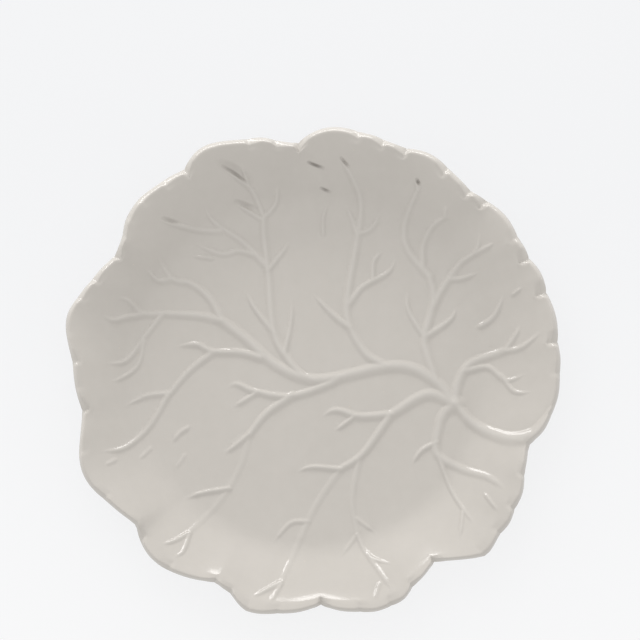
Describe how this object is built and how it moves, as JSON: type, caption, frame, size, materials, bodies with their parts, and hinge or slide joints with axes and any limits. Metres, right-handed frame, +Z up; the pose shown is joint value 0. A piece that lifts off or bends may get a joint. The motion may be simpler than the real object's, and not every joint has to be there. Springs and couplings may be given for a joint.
{
  "type": "leaf plate",
  "caption": "Round glazed plate shaped as a lobed leaf, with a scalloped lip, a flat round well, raised branching veins, a curled stalk at the rim and a foot ring.",
  "frame": {"origin": "middle of the outline, on the plane that the foot ring rests on", "axes": "+Z up out of the well, +X towards the stalk's side of the rim, +Y towards the deep notch between two lobes"},
  "size_m": [0.22, 0.2192, 0.0258],
  "materials": {
    "glaze": "glossy off-white glaze",
    "bare_foot": "unglazed, smooth"
  },
  "bodies": {
    "root": {"leaf_dish": "glaze", "stalk": "glaze", "midrib_veins": "glaze", "upper_veins": "glaze", "top_veins": "glaze", "upper_left_veins": "glaze", "right_veins": "glaze", "lower_left_veins": "glaze", "bottom_veins": "glaze", "lower_right_veins": "glaze", "foot_ring": "bare_foot"}
  },
  "joints": []
}
